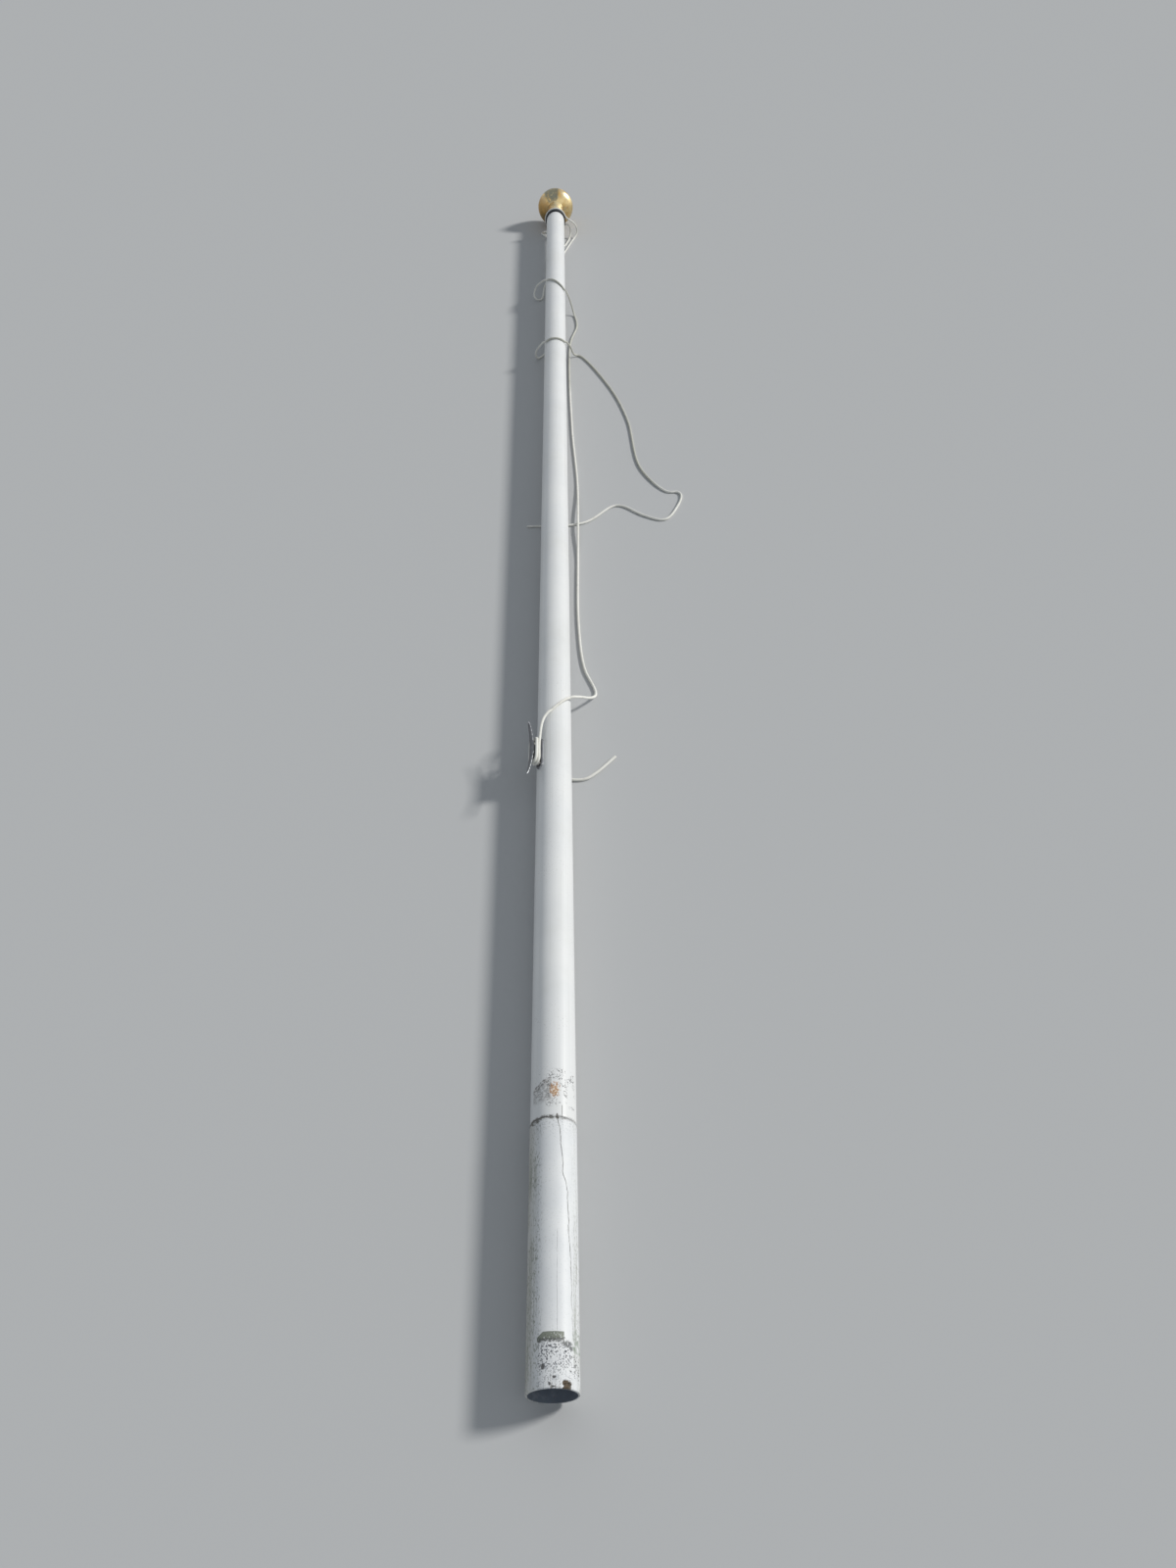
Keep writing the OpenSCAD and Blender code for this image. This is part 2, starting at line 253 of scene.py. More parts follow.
def along_pole(w):
    """The place on the object in the pole's own frame: as a vector, its three parts, and the angle about
    the axis in degrees, which is 0 on the right, 90 on top, 180 on the left and -90 or 270 underneath."""
    spot = w.node("ShaderNodeTexCoord", out=3)
    spot = w.node("ShaderNodeMapping", {}, {0: spot, 1: (0.0, -butt_y, -butt_height)})
    spot = w.node("ShaderNodeVectorRotate", {"rotation_type": "X_AXIS"}, {"Vector": spot, "Angle": -fall})
    right, along, up = (w.node("ShaderNodeSeparateXYZ", {}, {0: spot}, k) for k in range(3))
    angle = w.maths("ARCTAN2", right * -1.0, up) * (180 / math.pi) + 90.0
    return spot, right, up, along, angle


def patch(angle, along, rag, at, half):
    """An oval patch with a ragged edge. Its middle and half sizes are in degrees and in mm from the butt."""
    x, y = (angle - at[0]) / half[0], (along * 1000 - at[1]) / half[1]
    return (x * x + y * y + (rag - 0.5) * 3.0).rise(1.3, 0.7)


def tube_columns(along, columns):
    """Angles of the columns of each ring: close together at the crack, and even round the rest."""
    crack = np.interp(along * 1000, crack_marks[:, 1], crack_marks[:, 0])
    crack = np.radians(crack) + wander(along, 0.011, 0.0010, 3) / tube_r
    crack = crack + wander(along, 0.0026, 0.00035, 4) / tube_r
    close = np.array([0, 0.00013, 0.00026, 0.0004, 0.0006, 0.0009, 0.0014]) / tube_r
    even = np.linspace(close[-1], 2 * math.pi - close[-1], columns - 2 * len(close) + 3)[1:-1]
    offsets = np.concatenate([close, even, -close[:0:-1] % (2 * math.pi)])
    return crack[:, None] + offsets[None, :], np.minimum(offsets, 2 * math.pi - offsets) * tube_r


def lower_tube_surface():
    """The profile goes up the outside in steps of a millimetre, over the joint's groove, and down the bore.
    The crack is a V cut along its own column, the chip a shallow step, and the rim wanders a little."""
    outside = np.arange(rim_chamfer, joint_at - groove_len, ring_step)
    outline = [(tube_r - rim_chamfer, 0.0), *((tube_r, y) for y in outside), (tube_r, joint_at - groove_len),
               (groove_r, joint_at - groove_len), (groove_r, joint_at), (socket_r, joint_at),
               (socket_r, socket_from), (tube_bore_r, socket_from), (tube_bore_r, 0.05), (tube_bore_r, 0.0)]
    radius, along = np.array(outline).T
    angle, gap = tube_columns(along, tube_sides)
    outer = (radius > socket_r)[:, None]
    shown = np.interp(along * 1000, [40, 60, 150, 290, 300], [0, 0.6, 1, 1, 0.8])[:, None]
    breadth = 0.65 + 0.35 * np.sin(wander(along, 0.008, 6.0, 7))[:, None]
    crack = np.clip(1 - gap[None, :] / (crack_half * breadth), 0, 1) * shown * outer
    degrees = np.degrees(angle) % 360
    edge = wander(along, 0.0015, 2.0, 11)[:, None]
    chip = ((degrees > chip_angles[0] + edge) & (degrees < chip_angles[1] - edge)
            & (along[:, None] < chip_top + wander(angle, 0.05, 0.0008, 12)) & outer).astype(float)
    rim = np.exp(-along / 0.004)[:, None] * outer
    nick = np.clip(wander(angle, 0.07, 1.0, 15) - 0.55, 0, 1) * rim
    shrink = crack_depth * crack + chip_depth * chip + nick_depth * nick
    r = radius[:, None] - shrink
    y = along[:, None] + nick_lift * nick * (along < 0.003)[:, None] + 0 * angle
    points = on_pole(r * np.cos(angle), r * np.sin(angle), y)
    stain = np.clip(1 - gap[None, :] / stain_half, 0, 1) * shown * outer
    return points, crack, stain, chip, np.clip(nick * 3, 0, 1)


butt_finish, w, feed = new_finish("weathered_gelcoat", IOR=1.5, Specular_IOR_Level=0.3)
spot, right, up, along, angle = along_pole(w)
crack_mask, stain_mask, chip_mask, nick_mask = (
    w.node("ShaderNodeAttribute", {"attribute_name": name}, out=2)
    for name in ("crack", "stain", "chip", "nick"))
long_grain = spot.noise(1.0, 3.0, (700, 12, 700))
broad = spot.noise(28.0, 4.0)
fine = spot.noise(420.0, 3.0, rough=0.6)
fleck = spot.noise(560.0, 4.0, shift=(0.3, 0.1, 0.7), rough=0.6)
curl = w.maths("ABSOLUTE", spot.noise(170.0, 2.0, shift=(0.5, 0.9, 0.2)) - 0.5)
left_side = angle.rise(112.0, 150.0)
right_side = angle.rise(50.0, 30.0) * (0.30 + along.rise(0.21, 0.11) * 0.55)
side = left_side + right_side
foot = along.rise(0.048, 0.040)
scuffs = foot * angle.between(50.0, 120.0, 5.0)
clusters = spot.noise(95.0, 3.0).rise(0.27, 0.48) * (0.45 + along.rise(0.010, 0.030) * 0.55)
flecked = fleck.rise(0.520, 0.565) * (scuffs * clusters + along.rise(0.27, 0.298) * 0.2)
dashes = spot.noise(1.0, 3.0, (620, 260, 620)).rise(0.545, 0.60) * (angle.rise(108.0, 130.0) + right_side)
specks = fleck.rise(0.60, 0.66) * 0.2 + dashes * broad.rise(0.30, 0.55) * 0.75
smear = spot.noise(1.0, 4.0, (260, 130, 260)).rise(0.52, 0.7) * scuffs
ragged = along + (spot.noise(240.0, 4.0, rough=0.7) - 0.5) * 0.012
leaned = along + w.maths("MAXIMUM", angle - 111.0, 0.0) * 0.00036 + fine * 0.0012
residue = ragged.rise(0.0436, 0.0466) * leaned.rise(0.0557, 0.0550) * angle.between(66.0, 123.5, 1.5)
sloped = ragged - 0.0455 - (angle - 66.0) * 0.00022
trail = sloped.between(-0.0034, 0.0026, 0.0018) * angle.between(46.0, 70.0, 5.0)
trail = trail * spot.noise(210.0).rise(0.36, 0.52)
residue = w.maths("MAXIMUM", residue, trail * 0.85)
residue = residue * fine.rise(0.22, 0.46)
growth = angle.between(10.0, 41.0, 4.0) * along.between(0.038, 0.056, 0.004)
growth = growth * spot.noise(130.0).rise(0.4, 0.65)
scratched = curl.rise(0.030, 0.010) * angle.between(20.0, 50.0, 4.0) * along.between(0.012, 0.031, 0.003)
rim_marks = patch(angle, along, fine, (96.6, 4.4), (2.6, 1.6))
for at, half in (((88.5, 1.8), (4.5, 0.8)), ((86.5, 10.5), (4.0, 1.2)), ((111.0, 21.0), (3.5, 2.8))):
    rim_marks = w.maths("MAXIMUM", rim_marks, patch(angle, along, fine, at, half))
ring = 0.5 + angle.rise(86.0, 92.0) * 0.5 + angle.between(59.0, 71.0, 1.5) * 0.4
ring = ring + angle.between(77.0, 84.0, 1.0)
frayed = along + (spot.noise(320.0, 3.0) - 0.5) * 0.006
joint_dirt = frayed.rise(0.2962, 0.2990) * spot.noise(190.0, 3.0).rise(0.28, 0.46) * ring
smudge = patch(angle, along, fleck, (140.0, 297.0), (15.0, 3.6)) * spot.noise(330.0).rise(0.40, 0.52)
joint_dirt = w.maths("MAXIMUM", joint_dirt, smudge)
strayed = angle + (spot.noise(60.0) - 0.5) * 5.0
second = strayed.between(80.6, 80.9, 0.45) * along.between(0.058, 0.160, 0.006)
second = second * spot.noise(90.0).rise(0.35, 0.5)
inside = w.maths("LESS_THAN", right * right + up * up, (socket_r + 0.0001) ** 2)
colour = broad.rise(0.3, 0.75).mix((0.74, 0.755, 0.77), (0.80, 0.81, 0.815))
tint = angle.rise(120.0, 158.0) * angle.rise(230.0, 185.0)
colour = (tint * (0.35 + broad * 0.5)).mix(colour, (0.46, 0.45, 0.41))
streaks = long_grain.rise(0.45, 0.60) * side * (0.30 + broad.rise(0.38, 0.60) * 0.50)
colour = streaks.mix(colour, (0.31, 0.32, 0.285))
colour = specks.mix(colour, (0.24, 0.26, 0.21))
colour = (growth * 0.85).mix(colour, (0.20, 0.25, 0.19))
grime = (fleck * 0.5 + ragged.rise(0.051, 0.044) * 0.35).rise(0.22, 0.50)
colour = (residue * 0.92).mix(colour, grime.mix((0.17, 0.19, 0.145), (0.045, 0.05, 0.042)))
colour = (smear * 0.6).mix(colour, (0.30, 0.33, 0.38))
colour = (flecked * 0.92).mix(colour, (0.055, 0.06, 0.075))
colour = w.maths("MAXIMUM", scratched, rim_marks).mix(colour, (0.12, 0.12, 0.12))
colour = (joint_dirt * 0.85).mix(colour, (0.09, 0.085, 0.07))
colour = (second * 0.7).mix(colour, (0.20, 0.20, 0.20))
colour = (stain_mask.rise(0.1, 1.0) * fine.rise(0.25, 0.6) * 0.6).mix(colour, (0.30, 0.29, 0.26))
colour = crack_mask.rise(0.05, 0.5).mix(colour, (0.035, 0.032, 0.03))
colour = chip_mask.mix(colour, fine.rise(0.35, 0.65).mix((0.035, 0.030, 0.022), (0.13, 0.10, 0.07)))
colour = nick_mask.mix(colour, (0.22, 0.20, 0.17))
# Inside the bore the colour is painted shade: a dark blue-grey in place of the bare fibre's lighter grey,
# with paler blotches and rust-brown flecks of dirt on it.
bore = broad.rise(0.3, 0.7).mix((0.085, 0.10, 0.13), (0.15, 0.175, 0.21))
bore = (spot.noise(90.0, 4.0).rise(0.55, 0.72) * 0.6).mix(bore, (0.24, 0.26, 0.29))
bore = (fleck.rise(0.62, 0.70) * 0.7).mix(bore, (0.22, 0.12, 0.07))
colour = inside.mix(colour, bore)
feed(Base_Color=colour)
feed(Roughness=0.46 + side * 0.12 + scuffs * fine * 0.4 + inside * 0.3 + chip_mask * 0.4)
feed(Normal=w.bump(long_grain * 0.5 + fine * 0.3 - flecked * 0.6, 0.00012, 0.6))

tube_points, crack, stain, chip, nick = lower_tube_surface()
put_piece("lower_tube_skin", tube_points.reshape(-1, 3), [sheet_faces(*tube_points.shape[:2], True)],
          butt_finish, "butt_white", "lower_tube", crack=crack, stain=stain, chip=chip, nick=nick)


# Coupling: a plain drawn aluminium tube inside the joint of the two lengths. It is glued in, and shows
# only from inside the butt.
coupling_finish, w, feed = new_finish("drawn_aluminium", Metallic=1.0)
spot = along_pole(w)[0]
drawn = spot.noise(1.0, 3.0, (2400, 40, 2400))
feed(Base_Color=drawn.rise(0.3, 0.7).mix((0.46, 0.47, 0.48), (0.62, 0.63, 0.64)))
feed(Roughness=0.32 + drawn * 0.25, Normal=w.bump(drawn, 0.00005, 0.5))
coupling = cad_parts["coupling"]
coupling.data.materials.clear()
coupling.data.materials.append(coupling_finish)


# Shaft: one long glass-fibre tube, smooth and glossy under white gelcoat. It is dirty just above the
# joint, where it stood near the ground, and has a small rust spot there.
shaft_r = 0.0290
shaft_bore_r = 0.0270
shaft_to = 3.551
shaft_rim = 0.0004
shaft_end_len = 0.004
shaft_steps = 120
shaft_sides = 160
groove_bevel = 0.0002
groove_bevel_len = 0.0003


def turned(profile, columns, capped, relief=None):
    """A profile of (radius, distance from the butt), revolved about the pole's axis. Capped closes it on the
    axis at both ends, and otherwise the profile closes on itself. relief(angle, along) is added outwards."""
    radius, along = np.array(profile, float).T
    angle = np.linspace(0, 2 * math.pi, columns, endpoint=False)[None, :]
    r = radius[:, None] + (relief(angle, along[:, None]) if relief else 0 * angle)
    points = on_pole(r * np.cos(angle), r * np.sin(angle), along[:, None] + 0 * angle).reshape(-1, 3)
    faces = [sheet_faces(len(radius), columns, not capped)]
    if capped:
        ends = [on_pole(0.0, 0.0, along[k]) for k in (0, -1)]
        ring = np.arange(columns)
        after = (ring + 1) % columns
        last = (len(radius) - 1) * columns
        tip = np.full(columns, len(points))
        faces += [np.stack([after, ring, tip], -1), np.stack([last + ring, last + after, tip + 1], -1)]
        points = np.vstack([points, *ends])
    return points, faces


pole_finish, w, feed = new_finish("white_gelcoat", IOR=1.5, Specular_IOR_Level=0.4)
spot, _, _, along, angle = along_pole(w)
broad = spot.noise(9.0, 4.0)
fine = spot.noise(380.0, 3.0, rough=0.6)
streak = spot.noise(1.0, 3.0, (520, 5, 520))
specks = spot.noise(620.0, 2.0, shift=(0.7, 0.2, 0.4)).rise(0.63, 0.69)
specks = specks * spot.noise(14.0, 3.0).rise(0.48, 0.70)
grit = spot.noise(300.0, 4.0, rough=0.7)
sloped = along - 0.342 - (147.0 - angle) * 0.000236 + (spot.noise(130.0) - 0.5) * 0.008
soil = sloped.rise(0.0015, -0.0005) * along.rise(0.317, 0.327) * angle.between(98.0, 146.0, 5.0)
soil = soil * (0.5 + sloped.rise(-0.007, -0.004) * 0.5)
curl = w.maths("ABSOLUTE", spot.noise(210.0, 2.0) - 0.5)
thin_soil = angle.between(28.0, 104.0, 8.0) * along.between(0.318, 0.362, 0.006)
thin_soil = thin_soil * spot.noise(70.0).rise(0.43, 0.54)
soil_spots = w.maths("MAXIMUM", grit.rise(0.46, 0.53) * soil, curl.rise(0.032, 0.016) * thin_soil)
ring = 0.45 + angle.rise(84.0, 92.0) * 0.55
frayed = along + (spot.noise(320.0, 3.0) - 0.5) * 0.006
joint_dirt = frayed.rise(0.3036, 0.3010) * spot.noise(190.0, 3.0).rise(0.30, 0.48) * ring
joint_dirt = w.maths("MAXIMUM", joint_dirt, patch(angle, along, fine, (80.5, 301.5), (3.0, 3.4)))
run = angle.between(67.4, 68.9, 0.7) * along.between(0.299, 0.315, 0.002)
rust = patch(angle, along, fine, (86.0, 335.5), (9.0, 6.5))
rust_dots = spot.noise(430.0, 2.0, shift=(0.2, 0.6, 0.1)).rise(0.49, 0.54)
rust_dots = rust_dots * patch(angle, along, fine, (86.5, 336.5), (14.0, 10.5))
underneath = angle.rise(-40.0, -75.0)
colour = broad.rise(0.3, 0.75).mix((0.775, 0.785, 0.79), (0.82, 0.825, 0.82))
colour = (streak.rise(0.5, 0.75) * 0.22).mix(colour, (0.60, 0.60, 0.57))
colour = (specks * 0.6).mix(colour, (0.36, 0.35, 0.31))
colour = (spot.noise(5.0, 5.0, rough=0.65).rise(0.48, 0.70) * 0.22).mix(colour, (0.62, 0.62, 0.57))
colour = (underneath * spot.noise(40.0).rise(0.4, 0.7) * 0.5).mix(colour, (0.42, 0.40, 0.34))
colour = (soil_spots * 0.92).mix(colour, (0.075, 0.075, 0.08))
colour = (soil * fine.rise(0.2, 0.6) * 0.5).mix(colour, (0.34, 0.32, 0.30))
colour = (rust * 0.4).mix(colour, (0.78, 0.52, 0.27))
colour = (rust_dots * 0.8).mix(colour, (0.42, 0.20, 0.065))
colour = w.maths("MAXIMUM", joint_dirt * 0.85, run * 0.7).mix(colour, (0.10, 0.09, 0.08))
feed(Base_Color=colour)
feed(Roughness=0.30 + streak * 0.1 + soil_spots * 0.4 + specks * 0.2)
feed(Normal=w.bump(streak * 0.4 + fine * 0.15 + soil_spots * 0.5, 0.00010, 0.5))

shaft_profile = [(groove_r, joint_at), (groove_r, joint_at + groove_len),
                 (shaft_r - groove_bevel, joint_at + groove_len),
                 (shaft_r, joint_at + groove_len + groove_bevel_len)]
shaft_profile += [(shaft_r, y)
                  for y in np.linspace(joint_at + shaft_end_len, shaft_to - shaft_end_len, shaft_steps)]
shaft_profile += [(shaft_r, shaft_to - shaft_rim), (shaft_r - shaft_rim, shaft_to)]
shaft_profile += [(shaft_bore_r, shaft_to), (shaft_bore_r, joint_at)]
put_piece("shaft_skin", *turned(shaft_profile, shaft_sides, False), pole_finish, "pole_white", "shaft")


# Cap: black moulded nylon, turned in one piece, that plugs the shaft. Its flange covers the rim, the halyard
# turns on the narrow seat beyond the flange, and the spigot on top carries the finial.
flange_r = 0.033
flange_to = 3.562
seat_r = 0.031
seat_to = 3.569
plug_r = 0.0267
plug_bore_r = 0.0227
plug_from = 3.511
spigot_r = 0.0226
spigot_bore_r = 0.0186
spigot_to = 3.599
flange_round = 0.002
seat_fillet = 0.0008
seat_edge = 0.0005
cap_edge = 0.001
cap_floor = 0.002
cap_middle_r = 0.0004
cap_sides = 144


def corner(centre_r, centre_y, size, start, stop, steps=6):
    """A round corner of a profile: an arc of the given size between two angles in degrees."""
    return [(centre_r + size * math.cos(math.radians(a)), centre_y + size * math.sin(math.radians(a)))
            for a in np.linspace(start, stop, steps)]


cap_finish, w, feed = new_finish("black_nylon", IOR=1.53, Specular_IOR_Level=0.25)
spot, _, up, along, _ = along_pole(w)
grain = spot.noise(900.0, 3.0, rough=0.6)
dust = spot.noise(180.0, 4.0).rise(0.45, 0.75) * up.rise(0.0, 0.03)
wear = along.between(3.5515, 3.5525, 0.0006) * spot.noise(220.0).rise(0.45, 0.6)
colour = (dust * 0.12).mix((0.010, 0.012, 0.016), (0.12, 0.12, 0.11))
colour = (wear * 0.5).mix(colour, (0.12, 0.12, 0.12))
feed(Base_Color=colour)
feed(Roughness=0.55 + grain * 0.2 + dust * 0.15, Normal=w.bump(grain, 0.00006, 0.7))

cap_profile = [(cap_middle_r, shaft_to + cap_floor), (plug_bore_r, shaft_to + cap_floor),
               (plug_bore_r, plug_from + cap_edge), (plug_bore_r + cap_edge, plug_from),
               (plug_r - cap_edge, plug_from), (plug_r, plug_from + cap_edge), (plug_r, shaft_to)]
cap_profile += corner(flange_r - flange_round, shaft_to + flange_round, flange_round, -90, 0)
cap_profile += corner(flange_r - flange_round, flange_to - flange_round, flange_round, 0, 90)
cap_profile += corner(seat_r + seat_fillet, flange_to + seat_fillet, -seat_fillet, 90, 0, 4)
cap_profile += [(seat_r, seat_to - seat_edge), (seat_r - seat_edge, seat_to), (spigot_r, seat_to),
                (spigot_r, spigot_to - cap_edge), (spigot_r - cap_edge, spigot_to),
                (spigot_bore_r, spigot_to), (spigot_bore_r, seat_to), (cap_middle_r, seat_to)]
put_piece("cap_moulding", *turned(cap_profile, cap_sides, True), cap_finish, "cap_black", "cap")


# Finial: an onion spun from thin sheet and gilded, with a few shallow dents from handling. It is soldered
# to the neck, a spun sleeve that is drawn in a little at its waist and slips over the cap's spigot.
widest_at = 3.68818
neck_from = seat_to
neck_to = 3.654
neck_r = 0.026
neck_waist = 0.0016
finial_r = 0.0595
bowl = 0.038
dome = 0.0745
dome_power = 1.5
shell = 0.0015
spin_pitch = 0.0045
spin_relief = 0.00004
finial_sides = 192
neck_sides = 128


def onion(inset, steps=90):
    """The bowl is a quarter of an ellipse from the neck out to the widest ring, and the dome a
    superellipse from there to the tip; both are drawn in by the inset."""
    r = finial_r - inset
    start = math.asin((neck_r - inset) / r)
    a = np.linspace(start, math.pi / 2, steps // 3, endpoint=False)
    under = np.stack([r * np.sin(a), widest_at - (bowl - inset) * np.cos(a)], -1)
    b = np.linspace(0, 1, steps) ** 0.9 * math.pi / 2 * 0.9985
    over = np.stack([r * np.cos(b) ** (2 / dome_power),
                     widest_at + (dome - inset) * np.sin(b) ** (2 / dome_power)], -1)
    return np.vstack([under, over])


def dents(angle, along):
    """Shallow hollows, each a smooth bell in angle and distance, and faint rings left by spinning."""
    depth = 0 * angle * along
    for turn, at, size, width in ((0.6, 3.705, 0.0007, 0.012), (2.1, 3.668, 0.0005, 0.009),
                                  (3.6, 3.715, 0.0006, 0.010), (4.9, 3.690, 0.0009, 0.014),
                                  (5.6, 3.725, 0.0005, 0.008), (1.5, 3.735, 0.0004, 0.007)):
        away = (angle - turn + math.pi) % (2 * math.pi) - math.pi
        depth = depth - size * np.exp(-((away * finial_r) ** 2 + (along - at) ** 2) / (2 * width ** 2))
    return depth + spin_relief * np.sin(along * 2 * math.pi / spin_pitch)


gold_finish, w, feed = new_finish("gilt_metal")
spot, right, up, along, angle = along_pole(w)
blotch = spot.noise(26.0, 5.0, rough=0.6)
cloud = spot.noise(70.0, 4.0)
spun = w.maths("SINE", along * (2 * math.pi / 0.0011) + spot.noise(60.0) * 3.0)
pits = spot.noise(420.0, 2.0).rise(0.66, 0.74)
worn = w.maths("ABSOLUTE", along - widest_at).rise(0.012, 0.0) * cloud.rise(0.4, 0.65)
colour = blotch.rise(0.34, 0.68).mix((0.60, 0.39, 0.14), (0.86, 0.68, 0.36))
colour = (cloud.rise(0.52, 0.78) * 0.65).mix(colour, (0.44, 0.25, 0.10))
# The underside is painted a darker brown in clouds: a painted reflection of the shaded ground under it.
dark_reflection_below = angle.rise(-20.0, -50.0)
colour = (dark_reflection_below * cloud.rise(0.3, 0.6) * 0.6).mix(colour, (0.30, 0.19, 0.09))
colour = (spot.noise(38.0, 4.0, shift=(0.4, 0.6, 0.1)).rise(0.5, 0.68) * 0.6).mix(colour, (0.46, 0.44, 0.32))
# On the upper left a dark green-grey patch is painted: a painted reflection of the sky.
sky_reflection_patch = angle.between(86.0, 126.0, 14.0) * along.between(3.658, 3.740, 0.006) * cloud.rise(0.25, 0.50)
neck = along.rise(3.660, 3.656) * w.maths("SQRT", right * right + up * up).rise(0.0285, 0.0270)
colour = (worn * 0.5).mix(colour, (0.80, 0.74, 0.60))
# The left side is painted a darker brown: a painted reflection of the dark ground beside it.
colour = (angle.rise(118.0, 158.0) * blotch.rise(0.30, 0.5) * 0.75).mix(colour, (0.34, 0.20, 0.07))
colour = (sky_reflection_patch * 0.85).mix(colour, (0.15, 0.17, 0.145))
# On the neck the colour is painted a paler cream, most on its upper right, and the metal is a little less
# metallic there: a painted highlight.
colour = (neck * (0.2 + angle.between(35.0, 92.0, 15.0) * 0.6)).mix(colour, (0.90, 0.84, 0.64))
colour = (pits * 0.7).mix(colour, (0.20, 0.14, 0.08))
feed(Base_Color=colour)
feed(Roughness=0.26 + blotch * 0.14 + cloud.rise(0.5, 0.8) * 0.16 + pits * 0.2, Metallic=1.0 - neck * 0.2)
feed(Normal=w.bump(spun * 0.3 + cloud * 0.8 - pits * 0.5, 0.00006, 0.5))

finial_profile = np.vstack([onion(shell)[::-1], onion(0.0)])
put_piece("finial_onion", *turned(finial_profile, finial_sides, True, dents), gold_finish, "finial_gold",
          "finial")


def neck_wall(inset, steps=36):
    """A sleeve whose radius is drawn in at the waist by one arch of a sine."""
    s = np.linspace(0, 1, steps)
    return np.stack([neck_r - neck_waist * np.sin(math.pi * s) - inset,
                     neck_from + (neck_to - neck_from) * s], -1)


neck_profile = np.vstack([neck_wall(0.0), neck_wall(shell)[::-1]])
put_piece("finial_neck_sleeve", *turned(neck_profile, neck_sides, False), gold_finish, "finial_gold",
          "finial_neck")


# Cleat: a casting in dull grey metal with two slender horns on one stem, which bend away from the pole. Its
# foot beds on the shaft, and two screws go through the foot. The corners of the horns are worn bright.
cleat_at = 0.950
cleat_turn = math.radians(142)
cleat_len = 0.125
foot_len = 0.068
foot_w = 0.016
foot_t = 0.004
foot_top = shaft_r + foot_t
foot_crown = 0.0014
bed_gap = 0.0002
stem_len = 0.024
stem_w = 0.009
stem_flare = 0.0022
stem_sunk = 0.001
horn_mid = shaft_r + 0.018
horn_bow = 0.008
horn_root = (0.0027, 0.0050)
horn_tip = (0.0017, 0.0022)
cleat_voxel = 0.0005
cleat_ease = 4


def on_cleat(out, side, along):
    """Places points given from the pole's axis at the cleat: outwards, sideways (upwards), and along."""
    c, s = math.cos(cleat_turn), math.sin(cleat_turn)
    return on_pole(out * c + side * s, out * s - side * c, cleat_at + along)


def oval_stack(length, width, heights, insets, columns=72):
    """A stack of level outlines with round ends: at each height the outline of a bar is drawn in by the
    inset, and both ends of the stack close on their middle. Gives points as (out, side, along)."""
    a = np.linspace(0, 2 * math.pi, columns, endpoint=False)
    r = width / 2 - np.array(insets)[:, None]
    straight = (length - width) / 2
    along = straight * np.tanh(6 * np.cos(a)) + r * np.cos(a)
    side = r * np.sin(a) + 0 * along
    return np.array(heights)[:, None] + 0 * along, side, along


def closed_stack(out, side, along):
    """Faces and points of a grid whose first and last rows close on a point in their middle."""
    rows, columns = out.shape
    points = np.stack([out, side, along], -1)
    middles = points[[0, -1]].mean(axis=1)
    ring = np.arange(columns)
    after, last = (ring + 1) % columns, (rows - 1) * columns
    tip = np.full(columns, rows * columns)
    faces = [sheet_faces(rows, columns, False), np.stack([after, ring, tip], -1),
             np.stack([last + ring, last + after, tip + 1], -1)]
    return np.vstack([points.reshape(-1, 3), middles]), faces


def horn_surface(steps=80, columns=40):
    """An oval carried along the horns' bent middle line, thin outwards and wider sideways; both thicknesses
    shrink towards the tips, where they close like the end of an egg."""
    t = np.linspace(-1, 1, steps)
    end = np.sqrt(np.clip(1 - np.abs(t) ** 14, 0, 1))[:, None] + 0.02
    share = np.abs(t)[:, None] ** 1.3
    a = np.linspace(0, 2 * math.pi, columns, endpoint=False)[None, :]
    thick = (horn_root[0] + (horn_tip[0] - horn_root[0]) * share) * end
    wide = (horn_root[1] + (horn_tip[1] - horn_root[1]) * share) * end
    half = cleat_len / 2 - 0.0005
    slope = np.arctan(2 * horn_bow * t / half)[:, None]
    out = horn_mid + horn_bow * t[:, None] ** 2 + thick * np.cos(a) * np.cos(slope)
    along = half * t[:, None] - thick * np.cos(a) * np.sin(slope)
    return out, wide * np.sin(a) + 0 * out, along


def foot_surface():
    """The foot bulges a little in its middle and thins to its rim; its underside follows the round shaft."""
    heights = [0.0, 0.0, 0.25, 0.6, 0.85, 0.97, 1.0]
    insets = [0.003, 0.0, 0.0, 0.0002, 0.0008, 0.0018, 0.0032]
    share, side, along = oval_stack(foot_len, foot_w, heights, insets)
    bed = np.sqrt((shaft_r + bed_gap) ** 2 - side ** 2)
    top = foot_top - foot_crown * (np.abs(along) / (foot_len / 2)) ** 3
    return bed + (top - bed) * share, side, along


def stem_surface():
    """The stem flares into the foot and into the horns with hollow curves."""
    t = np.linspace(0, 1, 14)
    flare = stem_flare * np.abs(2 * t - 1) ** 3
    heights = foot_top - stem_sunk + (horn_mid - foot_top + stem_sunk) * t
    return oval_stack(stem_len, stem_w, heights, -flare)


